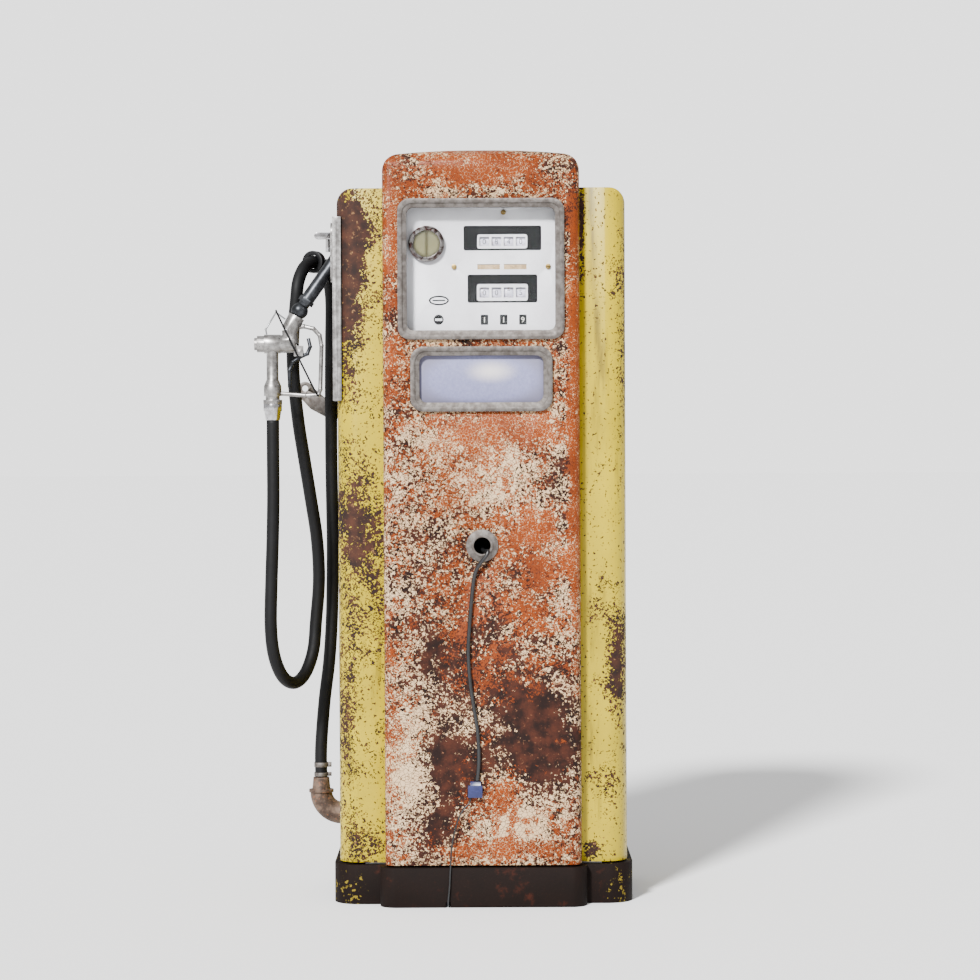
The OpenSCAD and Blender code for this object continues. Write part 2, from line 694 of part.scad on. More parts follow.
// ---------- nozzle ----------
spout_tip = [-288, noz_y, 1382];
ball = [-384, noz_y, 1246];
sleeve = [-405, noz_y, 1206];
barrel_z = 1176;
inlet_x = -442;
pivot = [-384, noz_y, 1158];

// Turns a piece drawn upright so that it points from one place to another.
module aim(a, b) {
    v = b - a;
    translate(a) rotate([0, acos(v[2] / norm(v)), atan2(v[1], v[0])]) children();
}

// Round bars end to end through a list of places.
module rod(points, d) {
    for (i = [0:len(points) - 2]) bar(points[i], points[i + 1], d);
    for (i = [1:len(points) - 2]) translate(points[i]) sphere(d = d + 1);
}

module nozzle_body() color("#B9B3AC") {
    aim(sleeve, ball) difference() {
        translate([0, 0, -2]) cylinder(d = ball_d - 1, h = norm(ball - sleeve) - 11);
        translate([0, 0, norm(ball - sleeve)]) sphere(d = ball_d + 0.6);
    }
    bar(sleeve, [-402, noz_y, barrel_z], 34);
    translate([0, noz_y, barrel_z]) {
        along_x(valve_d, -459, -425);
        along_x(valve_d - 2, -426, -394);
        along_x(valve_d - 5, -474, -458);
        along_x(valve_d - 14, -480, -473);
    }
    translate([inlet_x, noz_y, 1049]) {
        translate([0, 0, 50]) cylinder(d = 25, h = barrel_z - 1049 - 50);
        translate([0, 0, 38]) cylinder(d1 = 37, d2 = 25, h = 14);
        translate([0, 0, 17]) cylinder(d = 37, h = 21 + eps);
        translate([0, 0, 9]) cylinder(d = 30, h = 9);
        cylinder(d = 40, h = 9);
    }
    for (y = [-10, 6.5]) translate([-396, noz_y + y, 1150]) cube([19, 3.5, 22]);
    for (y = [-10, 6.5]) translate([-402, noz_y + y, 1160]) cube([12, 3.5, 14]);
    translate(pivot) along_y(6, -11, 11);
    rod([[-393, noz_y, 1210], [-375, noz_y, 1213], [-355, noz_y, 1208], [-342, noz_y, 1194],
        [-338, noz_y, 1172], [-341, noz_y, 1080], [-345, noz_y, 1068], [-373, noz_y, 1067],
        [-424, noz_y, 1071]], 9);
}

module nozzle_spout() color("#3D3C42") {
    translate(ball) sphere(d = ball_d);
    aim(ball, spout_tip) {
        translate([0, 0, 14]) cylinder(d = 24, h = 8);
        translate([0, 0, 20]) cylinder(d = spout_d + 5, h = 10, $fn = 6);
        translate([0, 0, 29]) difference() {
            cylinder(d = spout_d, h = norm(spout_tip - ball) - 29);
            translate([0, 0, 40]) cylinder(d = spout_d - 5, h = 200);
        }
    }
}

module nozzle_lever() color("#6B6468") difference() {
    union() {
        rod([[-366, noz_y, 1188], [-362, noz_y, 1170], [-368, noz_y, 1155], [-384, noz_y, 1148],
            [-398, noz_y, 1138], [-406, noz_y, 1120], [-406, noz_y, 1084]], 8);
        translate(pivot) along_y(16, -6, 6);
    }
    translate(pivot) along_y(6 + 2 * run_fit, -8, 8);
}

module nozzle_bail() color("#A8A8A4")
    rod([[-454, noz_y, 1196.4], [-456, noz_y, 1207], [-434, noz_y, 1243], [-414.6, noz_y, 1228.4]], 3.5);

module hose_ferrule() color("#B9BCC4") translate([inlet_x, noz_y, 1015]) {
    translate([0, 0, 19]) cylinder(d = 39, h = 15);
    cylinder(d1 = hose_d + 3, d2 = 36, h = 19 + eps);
}

// ---------- hose and cable, swept along chosen places ----------
hose_route = [[-355, 95, 234], [-355, 95, 300], [-347, 95, 400], [-336, 95, 490], [-330, 95, 580],
    [-328, 95, 660], [-327, 95, 750], [-328, 95, 840], [-329, 95, 930], [-329, 95, 1020],
    [-329, 95, 1100], [-328, 95, 1190], [-327, 95, 1270], [-331, 84, 1313], [-343, 56, 1344],
    [-360, 16, 1356], [-377, -24, 1344], [-389, -52, 1313], [-394, -61, 1270], [-402, -54, 1180],
    [-401, -40, 1100], [-393, -22, 1010], [-382, -2, 930], [-369, 18, 840], [-358, 36, 755],
    [-355, 48, 667], [-362, 50, 580], [-368, 40, 515], [-384, 11, 468], [-405, -28, 451],
    [-427, -66, 468], [-443, -95, 515], [-449, -105, 580], [-447, -105, 674], [-444, -105, 760],
    [-442, -105, 850], [-442, -105, 930], [-442, -105, 1015]];

cable_route = [[0, -206, 744], [4, -222, 740], [7, -236, 741], [12, -247, 741], [8, -250, 731],
    [-3, -247, 717], [-15, -238, 695], [-21, -237, 657], [-27, -237, 589], [-30, -237, 530],
    [-26, -237, 466], [-18, -237, 411], [-11, -237, 361], [-9, -237, 306], [-13, -238, 262]];

tail_route = [[-27, -239, 229], [-29, -240, 218], [-40, -242, 206], [-50, -243, 190],
    [-58, -244, 166], [-66, -244, 128], [-69, -245, 83], [-71, -246, 45], [-74, -247, 14],
    [-74, -244, 5], [-74, -236, 4], [-74, -226, 4]];

// A smooth point between places i and i + 1 of a route, at share t of the way.
function at(p, i) = p[max(0, min(len(p) - 1, i))];
function between(p, i, t) = 0.5 * (2 * at(p, i) + (at(p, i + 1) - at(p, i - 1)) * t
    + (2 * at(p, i - 1) - 5 * at(p, i) + 4 * at(p, i + 1) - at(p, i + 2)) * t * t
    + (3 * at(p, i) - at(p, i - 1) - 3 * at(p, i + 1) + at(p, i + 2)) * t * t * t);
function smooth(p, n) = [for (i = [0:len(p) - 2], k = [0:n - 1]) between(p, i, k / n), p[len(p) - 1]];
function unit(v) = v / norm(v);
function along(c, i) = unit(at(c, i + 1) - at(c, i - 1));
function carried(n, t) = unit(n - (n * t) * t);
function normals(c, n, i = 0) = i >= len(c) ? [] :
    let (m = carried(n, along(c, i))) concat([m], normals(c, m, i + 1));

// One closed tube along a route, with a ring at every point of the smoothed line.
module tube(route, d, sides, steps, start_normal) {
    c = smooth(route, steps);
    n = normals(c, start_normal);
    rings = [for (i = [0:len(c) - 1], k = [0:sides - 1])
        let (b = cross(along(c, i), n[i]), a = 360 * k / sides)
        c[i] + d / 2 * (cos(a) * n[i] + sin(a) * b)];
    last = (len(c) - 1) * sides;
    walls = [for (i = [0:len(c) - 2], k = [0:sides - 1], h = [0, 1])
        let (a = i * sides + k, b = i * sides + (k + 1) % sides)
        h == 0 ? [a, a + sides, b] : [b, a + sides, b + sides]];
    polyhedron(rings, concat(walls, [[for (k = [0:sides - 1]) k]],
        [[for (k = [sides - 1:-1:0]) last + k]]));
}

module hose() color("#252428") tube(hose_route, hose_d, 10, 2, [1, 0, 0]);

module power_cable() color("#1C1C1E") {
    tube(cable_route, 8, 8, 2, [1, 0, 0]);
    tube(tail_route, 3.5, 8, 2, [1, 0, 0]);
}

module cable_connector() color("#2E5FA8") {
    translate([-32, -246, 229]) cube([30, 15, 25]);
    translate([-27, -244, 254 - eps]) cube([22, 12, 8 + eps]);
}

base_skirt();
cabinet_frame();
left_panel();
right_panel();
crown();
front_door();
rear_door();
front_dial_bezel();
rear_dial_bezel();
front_dial_glass();
rear_dial_glass();
front_ad_bezel();
rear_ad_bezel();
front_ad_panel();
rear_ad_panel();
front_dial_plate();
rear_dial_plate();
dial_screws();
front_sight_glass();
rear_sight_glass();
lamps();
lock_escutcheon();
rear_lock();
register_case();
counter_shafts();
cost_wheel_1();
cost_wheel_2();
cost_wheel_3();
cost_wheel_4();
volume_wheel_1();
volume_wheel_2();
volume_wheel_3();
volume_wheel_4();
rear_cost_wheels();
rear_volume_wheels();
price_drums();
meter();
meter_shaft();
motor();
motor_pulley();
pump_unit();
pump_pulley();
drive_belt();
air_separator();
pipework();
junction_box();
outlet_elbow();
hose_clamps();
nozzle_boot();
switch_lever();
hose_hanger();
lock_plate();
nozzle_body();
nozzle_spout();
nozzle_lever();
nozzle_bail();
hose_ferrule();
hose();
power_cable();
cable_connector();
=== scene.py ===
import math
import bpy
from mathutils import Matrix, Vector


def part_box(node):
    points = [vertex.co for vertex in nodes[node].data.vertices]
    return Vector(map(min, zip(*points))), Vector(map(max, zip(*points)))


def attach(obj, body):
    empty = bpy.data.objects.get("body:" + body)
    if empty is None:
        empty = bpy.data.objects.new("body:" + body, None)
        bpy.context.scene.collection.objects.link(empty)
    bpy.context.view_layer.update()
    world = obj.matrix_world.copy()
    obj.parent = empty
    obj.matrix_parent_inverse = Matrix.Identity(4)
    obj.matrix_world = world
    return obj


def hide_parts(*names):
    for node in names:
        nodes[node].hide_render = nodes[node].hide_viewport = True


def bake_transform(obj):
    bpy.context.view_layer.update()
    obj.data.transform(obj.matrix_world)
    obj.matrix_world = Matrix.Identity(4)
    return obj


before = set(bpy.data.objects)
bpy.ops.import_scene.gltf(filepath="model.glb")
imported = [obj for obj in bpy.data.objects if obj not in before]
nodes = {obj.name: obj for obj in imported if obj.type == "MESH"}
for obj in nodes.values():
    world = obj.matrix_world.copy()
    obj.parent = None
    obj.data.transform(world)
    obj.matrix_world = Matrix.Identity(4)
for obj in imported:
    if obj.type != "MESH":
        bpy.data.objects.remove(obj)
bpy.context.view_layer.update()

# %% [markdown]
# # A weathered kerbside petrol pump
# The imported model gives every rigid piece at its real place. This lesson dresses it: first the camera and
# the cords, then one finish at a time, and then the small pieces that only the eye needs, such as printed
# digits.

MM = 0.001
print("CAD nodes:", len(nodes))

# %% [markdown]
# ## Camera
# The pump is seen square on from 6 m with a long lens at chest height. The camera looks about one degree
# down and leans about a quarter of a degree.

# %% Camera
front_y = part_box("front_door")[0].y
eye = Vector((0.0, front_y - 6.0, 0.990))
tilt, turn, roll = math.radians(1.17), math.radians(-0.16), math.radians(0.27)
camera_data = bpy.data.cameras.new("long_lens")
camera_data.lens = 106.2        # mm, on a sensor 36 mm wide
camera = bpy.data.objects.new("camera", camera_data)
facing = (Matrix.Rotation(turn, 4, "Z") @ Matrix.Rotation(math.pi / 2 - tilt, 4, "X")
          @ Matrix.Rotation(-roll, 4, "Z"))
camera.matrix_world = Matrix.Translation(eye) @ facing
bpy.context.scene.collection.objects.link(camera)
bpy.context.scene.camera = camera
print("camera at", tuple(round(v, 2) for v in eye))

# %% [markdown]
# ## Hose and cables
# A rubber hose keeps its length and hangs under its own weight. Each one is a round tube swept along the
# same places as its plain CAD tube. A smooth curve runs through the places, and a ring of points that is
# carried from one place to the next without twisting makes the wall.

# %% Routes in millimetres
HOSE_ROUTE = [(-355, 95, 234), (-355, 95, 300), (-347, 95, 400), (-336, 95, 490), (-330, 95, 580),
              (-328, 95, 660), (-327, 95, 750), (-328, 95, 840), (-329, 95, 930), (-329, 95, 1020),
              (-329, 95, 1100), (-328, 95, 1190), (-327, 95, 1270), (-331, 84, 1313), (-343, 56, 1344),
              (-360, 16, 1356), (-377, -24, 1344), (-389, -52, 1313), (-394, -61, 1270), (-402, -54, 1180),
              (-401, -40, 1100), (-393, -22, 1010), (-382, -2, 930), (-369, 18, 840), (-358, 36, 755),
              (-355, 48, 667), (-362, 50, 580), (-368, 40, 515), (-384, 11, 468), (-405, -28, 451),
              (-427, -66, 468), (-443, -95, 515), (-449, -105, 580), (-447, -105, 674), (-444, -105, 760),
              (-442, -105, 850), (-442, -105, 930), (-442, -105, 1015)]
CABLE_ROUTE = [(0, -206, 744), (4, -222, 740), (7, -236, 741), (12, -247, 741), (8, -250, 731),
               (-3, -247, 717), (-15, -238, 695), (-21, -237, 657), (-27, -237, 589), (-30, -237, 530),
               (-26, -237, 466), (-18, -237, 411), (-11, -237, 361), (-9, -237, 306), (-13, -238, 262)]
TAIL_ROUTE = [(-27, -239, 229), (-29, -240, 218), (-40, -242, 206), (-50, -243, 190),
              (-58, -244, 166), (-66, -244, 128), (-69, -245, 83), (-71, -246, 45), (-74, -247, 14),
              (-74, -244, 5), (-74, -236, 4), (-74, -226, 4)]

print("routes:", len(HOSE_ROUTE), len(CABLE_ROUTE), "and", len(TAIL_ROUTE), "places")


def smooth_line(places, steps):
    """A Catmull-Rom curve through the places, in metres."""
    p = [Vector(q) * MM for q in places]
    p = [p[0]] + p + [p[-1]]
    line = []
    for i in range(1, len(p) - 2):
        for k in range(steps):
            t = k / steps
            line.append(0.5 * (2 * p[i] + (p[i + 1] - p[i - 1]) * t
                               + (2 * p[i - 1] - 5 * p[i] + 4 * p[i + 1] - p[i + 2]) * t * t
                               + (3 * p[i] - p[i - 1] - 3 * p[i + 1] + p[i + 2]) * t ** 3))
    return line + [p[-2].copy()]


# %% A tube along a line
def new_mesh(name, points, faces, smooth=True):
    mesh = bpy.data.meshes.new(name)
    mesh.from_pydata([tuple(v) for v in points], [], faces)
    mesh.polygons.foreach_set("use_smooth", [smooth] * len(mesh.polygons))
    piece = bpy.data.objects.new(name, mesh)
    bpy.context.scene.collection.objects.link(piece)
    return piece


def tube(name, line, diameter, sides):
    """A closed round tube along a line of points."""
    points, faces = [], []
    side = Vector((1, 0, 0))
    for i, centre in enumerate(line):
        along = (line[min(i + 1, len(line) - 1)] - line[max(i - 1, 0)]).normalized()
        side = (side - along * side.dot(along)).normalized()
        other = along.cross(side)
        for k in range(sides):
            a = 2 * math.pi * k / sides
            points.append(centre + (side * math.cos(a) + other * math.sin(a)) * diameter / 2)
    for i in range(len(line) - 1):
        for k in range(sides):
            a, b = i * sides + k, i * sides + (k + 1) % sides
            faces.append((a, b, b + sides, a + sides))
    faces.append(tuple(range(sides - 1, -1, -1)))
    faces.append(tuple(len(points) - sides + k for k in range(sides)))
    return new_mesh(name, points, faces)


def line_length(line):
    return sum((b - a).length for a, b in zip(line, line[1:]))


print("tube maker ready")

# %% Hose, power cable and the thin wire
cords = {}
for name, route, diameter, sides in (("delivery_hose", HOSE_ROUTE, 0.027, 28),
                                     ("lock_cable", CABLE_ROUTE, 0.008, 16),
                                     ("thin_wire", TAIL_ROUTE, 0.0035, 12)):
    line = smooth_line(route, 8)
    cords[name] = (tube(name, line, diameter, sides), line, diameter)
    print(name, "is", round(line_length(line), 3), "m long")

# %% [markdown]
# ## Finishes
# Every finish is mixed from procedural nodes in the pump's own coordinates, in metres. A scale is written
# as the size of one cell in millimetres. Colours are sRGB hex values, and one function turns them to
# linear light.

# %% Helpers for materials
def linear(code):
    """sRGB hex to a linear RGBA colour."""
    parts = [int(code[i:i + 2], 16) / 255 for i in (1, 3, 5)]
    return tuple(c / 12.92 if c <= 0.04045 else ((c + 0.055) / 1.055) ** 2.4 for c in parts) + (1.0,)


def add(tree, kind, settings=None, links=None):
    """Adds a node. settings are its own properties. links gives each input a value or another output."""
    made = tree.nodes.new(kind)
    for key, value in (settings or {}).items():
        setattr(made, key, value)
    for key, value in (links or {}).items():
        if isinstance(value, bpy.types.NodeSocket):
            tree.links.new(value, made.inputs[key])
        else:
            made.inputs[key].default_value = value
    return made


def start(name, roughness, metallic=0.0, specular=0.5):
    """A new material with its Principled shader, and the place that patterns start from."""
    material = bpy.data.materials.new(name)
    material.use_nodes = True
    tree = material.node_tree
    shader = tree.nodes["Principled BSDF"]
    shader.inputs["Roughness"].default_value = roughness
    shader.inputs["Metallic"].default_value = metallic
    shader.inputs["Specular IOR Level"].default_value = specular
    place = add(tree, "ShaderNodeTexCoord").outputs["Object"]
    return material, tree, shader, place


def noise(tree, place, size_mm, detail=4.0, rough=0.6):
    """Cloudy noise whose blobs are about size_mm across."""
    return add(tree, "ShaderNodeTexNoise", None,
               {"Vector": place, "Scale": 1000 / size_mm / 2, "Detail": detail,
                "Roughness": rough}).outputs["Fac"]


def math_node(tree, operation, a, b=0.0, clamp=False):
    return add(tree, "ShaderNodeMath", {"operation": operation, "use_clamp": clamp}, {0: a, 1: b}).outputs[0]


def step(tree, value, low, high):
    """0 below low, 1 above high, and a soft edge between."""
    return add(tree, "ShaderNodeMapRange", {"interpolation_type": "SMOOTHSTEP"},
               {"Value": value, "From Min": low, "From Max": high}).outputs[0]


def mix(tree, share, a, b):
    """Colour a where share is 0, colour b where it is 1. A colour is a hex code or a socket."""
    made = add(tree, "ShaderNodeMix", {"data_type": "RGBA"})
    for key, value in ((0, share), (6, a), (7, b)):
        if isinstance(value, bpy.types.NodeSocket):
            tree.links.new(value, made.inputs[key])
        else:
            made.inputs[key].default_value = linear(value) if isinstance(value, str) else value
    return made.outputs[2]


def bump(tree, shader, height, depth_mm, strength=1.0):
    made = add(tree, "ShaderNodeBump", None, {"Height": height, "Distance": depth_mm * MM,
                                              "Strength": strength})
    tree.links.new(made.outputs[0], shader.inputs["Normal"])


def colour_in(tree, shader, value):
    tree.links.new(value, shader.inputs["Base Color"])


print("helpers ready")

# %% [markdown]
# ## Old enamel that lets go
# Stoving enamel on sheet steel fails in chips: it crazes into cells a few millimetres wide, the cells
# lift, and rust spreads below them. So each paint coat is a Voronoi pattern. A cell keeps its paint while
# its own random value is below the coat's cover at that place, and cover is set by soft blobs where the
# real pump is worn.

# %% Cover, cells and coats
def blobs(tree, place, spots, base):
    """Cover at a place: base plus soft round spots, each (x mm, z mm, half width, half height, amount)."""
    total = base
    for x, z, half_w, half_h, amount in spots:
        moved = add(tree, "ShaderNodeMapping", {"vector_type": "POINT"},
                    {"Vector": place, "Location": (-x / half_w, 0, -z / half_h),
                     "Scale": (1000 / half_w, 0, 1000 / half_h)}).outputs[0]
        far = add(tree, "ShaderNodeVectorMath", {"operation": "LENGTH"}, {0: moved}).outputs["Value"]
        near = add(tree, "ShaderNodeMapRange", {"interpolation_type": "SMOOTHSTEP"},
                   {"Value": far, "From Min": 0.0, "From Max": 1.0, "To Min": amount,
                    "To Max": 0.0}).outputs[0]
        total = math_node(tree, "ADD", near, total)
    return total


def chips(tree, place, cell_mm, cover, spread):
    """1 where a paint cell is still on: the cell's random value, blurred with noise, is below its cover."""
    bent = add(tree, "ShaderNodeMix", {"data_type": "VECTOR"}, {0: 0.012})
    tree.links.new(place, bent.inputs[4])
    wobble = add(tree, "ShaderNodeTexNoise", None, {"Vector": place, "Scale": 700 / cell_mm, "Detail": 3.0})
    tree.links.new(wobble.outputs["Color"], bent.inputs[5])
    cell = add(tree, "ShaderNodeTexVoronoi", {"feature": "F1"},
               {"Vector": bent.outputs[1], "Scale": 1000 / cell_mm, "Randomness": 1.0})
    value = add(tree, "ShaderNodeSeparateColor", None, {0: cell.outputs["Color"]}).outputs[0]
    cloud = noise(tree, place, cell_mm * 6, 6.0, 0.65)
    value = math_node(tree, "ADD", math_node(tree, "MULTIPLY", value, spread), cloud)
    return step(tree, math_node(tree, "SUBTRACT", cover, value), -0.02, 0.02)


def cracks(tree, place, cell_mm, width):
    """1 on the paint and 0 along the craze lines round each cell."""
    wobble = add(tree, "ShaderNodeTexNoise", None, {"Vector": place, "Scale": 600 / cell_mm, "Detail": 2.0})
    bent = add(tree, "ShaderNodeMix", {"data_type": "VECTOR"}, {0: 0.008})
    tree.links.new(place, bent.inputs[4])
    tree.links.new(wobble.outputs["Color"], bent.inputs[5])
    edge = add(tree, "ShaderNodeTexVoronoi", {"feature": "DISTANCE_TO_EDGE"},
               {"Vector": bent.outputs[1], "Scale": 1000 / cell_mm}).outputs["Distance"]
    return step(tree, edge, width * 0.4, width)


# %% Tower enamel: orange over cream over rust
def uneven(tree, place, cover, size_mm, amount):
    """Cover with ragged clouds added, so that a worn spot has no round outline."""
    cloud = math_node(tree, "SUBTRACT", noise(tree, place, size_mm, 9, 0.62), 0.5)
    return math_node(tree, "ADD", cover, math_node(tree, "MULTIPLY", cloud, amount))


def tower_enamel(name, orange_spots, cream_spots):
    material, tree, shader, place = start(name, 0.45, specular=0.2)
    rust = mix(tree, step(tree, noise(tree, place, 14, 8), 0.35, 0.7), "#170A07", "#3D1D12")
    rust = mix(tree, step(tree, noise(tree, place, 3, 3), 0.62, 0.75), rust, "#6B4630")
    cream = mix(tree, noise(tree, place, 60, 6), "#A67E56", "#DCC29C")
    cream = mix(tree, step(tree, noise(tree, place, 5, 4), 0.60, 0.80), cream, "#8A5436")
    orange = mix(tree, noise(tree, place, 45, 7), "#481700", "#923E00")
    orange_cover = uneven(tree, place, blobs(tree, place, orange_spots, 0.64), 75, 1.1)
    cream_cover = uneven(tree, place, blobs(tree, place, cream_spots, 0.75), 45, 1.1)
    cream_on = chips(tree, place, 3.6, cream_cover, 0.55)
    cream_on = math_node(tree, "MULTIPLY", cream_on, cracks(tree, place, 8, 0.05))
    patch = chips(tree, place, 16.0, math_node(tree, "ADD", orange_cover, 0.16), 0.40)
    orange_on = chips(tree, place, 3.4, orange_cover, 0.40)
    orange_on = math_node(tree, "MULTIPLY", orange_on, patch)
    orange_on = math_node(tree, "MULTIPLY", orange_on, cracks(tree, place, 6, 0.04))
    under = mix(tree, cream_on, rust, cream)
    colour_in(tree, shader, mix(tree, orange_on, under, orange))
    coats = math_node(tree, "ADD", math_node(tree, "MULTIPLY", cream_on, 0.5), orange_on)
    rough = add(tree, "ShaderNodeMapRange", None, {"Value": coats, "From Max": 1.2, "To Min": 0.85,
                                                   "To Max": 0.38})
    tree.links.new(rough.outputs[0], shader.inputs["Roughness"])
    bump(tree, shader, coats, 0.5, 0.6)
    return material


ORANGE_SPOTS = [(10, 1540, 150, 70, 0.34), (-188, 1250, 40, 420, 0.14), (196, 1000, 26, 700, 0.50),
                (10, 1000, 190, 60, 0.24), (-60, 650, 140, 140, 0.18), (110, 620, 100, 120, 0.18),
                (30, 118, 210, 34, 0.30), (60, 780, 150, 90, 0.16), (120, 360, 150, 150, -0.30),
                (-62, 310, 120, 130, -0.24), (-130, 200, 110, 190, -0.24), (0, 960, 180, 90, 0.10)]
CREAM_SPOTS = [(0, 930, 220, 170, 0.30), (-165, 280, 80, 260, 0.40), (60, 150, 190, 90, 0.26),
               (126, 355, 160, 160, -0.46), (-62, 307, 120, 130, -0.40), (-100, 165, 90, 70, -0.36),
               (0, 540, 210, 190, -0.22), (192, 1450, 20, 110, -0.5), (192, 1260, 18, 80, -0.5),
               (0, 1560, 210, 180, 0.10)]
orange_enamel = tower_enamel("crazed_orange_enamel", ORANGE_SPOTS, CREAM_SPOTS)
print("tower coats:", len(ORANGE_SPOTS), "orange spots and", len(CREAM_SPOTS), "cream spots")

# %% Side enamel: yellow over rust
def side_enamel(name, spots, base):
    material, tree, shader, place = start(name, 0.4, specular=0.3)
    rust = mix(tree, step(tree, noise(tree, place, 18, 8), 0.35, 0.7), "#1A0C08", "#3E2114")
    rust = mix(tree, step(tree, noise(tree, place, 4, 3), 0.60, 0.72), rust, "#7A5836")
    yellow = mix(tree, noise(tree, place, 70, 6), "#8E7C00", "#C0A800")
    streaks = add(tree, "ShaderNodeMapping", None, {"Vector": place, "Scale": (1, 1, 0.12)}).outputs[0]
    yellow = mix(tree, step(tree, noise(tree, streaks, 16, 4), 0.55, 0.8), yellow, "#6A5A06")
    on = chips(tree, place, 3.6, uneven(tree, place, blobs(tree, place, spots, base), 60, 0.8), 0.5)
    pits = step(tree, noise(tree, place, 3.2, 2, 0.5), 0.33, 0.37)
    on = math_node(tree, "MULTIPLY", on, pits)
    colour_in(tree, shader, mix(tree, on, rust, yellow))
    rough = add(tree, "ShaderNodeMapRange", None, {"Value": on, "To Min": 0.85, "To Max": 0.33})
    tree.links.new(rough.outputs[0], shader.inputs["Roughness"])
    bump(tree, shader, on, 0.45, 0.7)
    return material


LEFT_SPOTS = [(-292, 1330, 80, 340, -0.66), (-240, 1420, 60, 110, -0.30), (-270, 780, 80, 230, -0.42),
              (-220, 700, 40, 260, -0.22), (-285, 420, 40, 260, -0.30), (-250, 130, 70, 80, -0.25)]
RIGHT_SPOTS = [(282, 500, 40, 230, -0.62), (250, 240, 60, 90, -0.34), (210, 1420, 14, 180, -0.7),
               (225, 110, 40, 40, -0.5), (300, 1200, 36, 420, -0.22), (240, 620, 50, 120, -0.16)]
yellow_left = side_enamel("flaked_yellow_enamel_left", LEFT_SPOTS, 0.96)
yellow_right = side_enamel("flaked_yellow_enamel_right", RIGHT_SPOTS, 1.08)
print("side coats:", len(LEFT_SPOTS), "left spots and", len(RIGHT_SPOTS), "right spots")

# %% [markdown]
# ## Base
# The skirt took every kick and all the rain. Almost no paint is left, only brown-black rust with redder
# bloom and a few yellow flecks on the side parts.

# %% Base rust
def base_rust():
    material, tree, shader, place = start("rusted_base_enamel", 0.75, specular=0.12)
    dark = mix(tree, noise(tree, place, 30, 8), "#060302", "#150905")
    bloom = mix(tree, step(tree, noise(tree, place, 22, 9, 0.7), 0.56, 0.74), dark, "#32140A")
    sides = step(tree, math_node(tree, "ABSOLUTE", add(tree, "ShaderNodeSeparateXYZ", None,
                                                       {0: place}).outputs[0]),
                 0.21, 0.26)
    fleck = chips(tree, place, 5.0, math_node(tree, "MULTIPLY", sides, 0.52), 0.45)
    painted = mix(tree, fleck, bloom, "#6E5E1A")
    colour_in(tree, shader, painted)
    bump(tree, shader, noise(tree, place, 4, 6), 0.8, 0.6)
    return material


base_enamel = base_rust()
print("paints made")

# %% [markdown]
# ## Plain finishes
# The rest are single materials: cloudy dirt over a colour, metals that keep their own index, and a thin
# glass that lets the lamps through without a hard shadow.

# %% Plain, metal and dirty finishes
def plain(name, light, dark, roughness, metallic=0.0, cell_mm=20, rough_low=0.9, bump_mm=0.0, speck=None,
          specular=0.5):
    """A colour that wanders between two tones, with optional specks of a third and a little unevenness."""
    material, tree, shader, place = start(name, roughness, metallic, specular)
    colour = mix(tree, step(tree, noise(tree, place, cell_mm, 7), 0.32, 0.68), dark, light)
    if speck:
        colour = mix(tree, step(tree, noise(tree, place, cell_mm / 4, 5), 0.58, 0.68), colour, speck)
    colour_in(tree, shader, colour)
    rough = add(tree, "ShaderNodeMapRange", None,
                {"Value": noise(tree, place, cell_mm * 0.7, 5), "To Min": roughness * rough_low,
                 "To Max": min(1.0, roughness / rough_low)})
    tree.links.new(rough.outputs[0], shader.inputs["Roughness"])
    if bump_mm:
        bump(tree, shader, noise(tree, place, cell_mm / 5, 6), bump_mm, 0.6)
    return material


FINISHES = {
    "orange_enamel": orange_enamel,
    "yellow_enamel": yellow_right,
    "base_enamel": base_enamel,
    "black_enamel": plain("black_counter_enamel", "#0B0B0D", "#050506", 0.45, specular=0.2),
    "zinc": plain("mottled_zinc_bezel", "#6E6965", "#4C4642", 0.55, 0.7, 5, 0.8, 0.15, "#4E3E36"),
    "steel": plain("bright_worn_steel", "#A9ABAD", "#7E7E7F", 0.34, 0.95, 14, 0.7),
    "dark_steel": plain("oiled_dark_steel", "#45474B", "#222325", 0.36, 0.9, 12, 0.75),
    "rusty_iron": plain("brown_rusty_pipe", "#6E5A4C", "#35271F", 0.62, 0.45, 10, 0.8, 0.3, "#7A4A30"),
    "milk_glass": None,
    "white_enamel": plain("white_dial_enamel", "#D6D4D8", "#C4C0C5", 0.28, 0.0, 60),
    "brass": plain("dull_brass", "#9C8350", "#5F4B2C", 0.38, 1.0, 8, 0.75),
    "chrome": plain("pitted_chrome", "#C8C8CB", "#8E8A88", 0.16, 1.0, 7, 0.6, 0.0, "#5A453B"),
    "cast_iron": plain("grey_painted_casting", "#5E625F", "#3A3D3B", 0.6, 0.2, 15, 0.8, 0.3),
    "rubber": plain("black_hose_rubber", "#08080A", "#040405", 0.58, 0.0, 25, 0.75, 0.12,
                    specular=0.2),
    "aluminium": plain("cast_aluminium", "#A3A19F", "#6E6B69", 0.36, 0.9, 6, 0.75, 0.12, "#4A4643"),
    "black_plastic": plain("black_plastic", "#17181A", "#0C0D0E", 0.35),
    "blue_plastic": plain("blue_connector_plastic", "#1A2152", "#10153A", 0.35, 0.0, 6),
    "number_wheel": plain("worn_number_wheel", "#D9D6E4", "#A9A6B4", 0.4, 0.0, 9, 0.9, 0.0, "#8A5A38"),
}


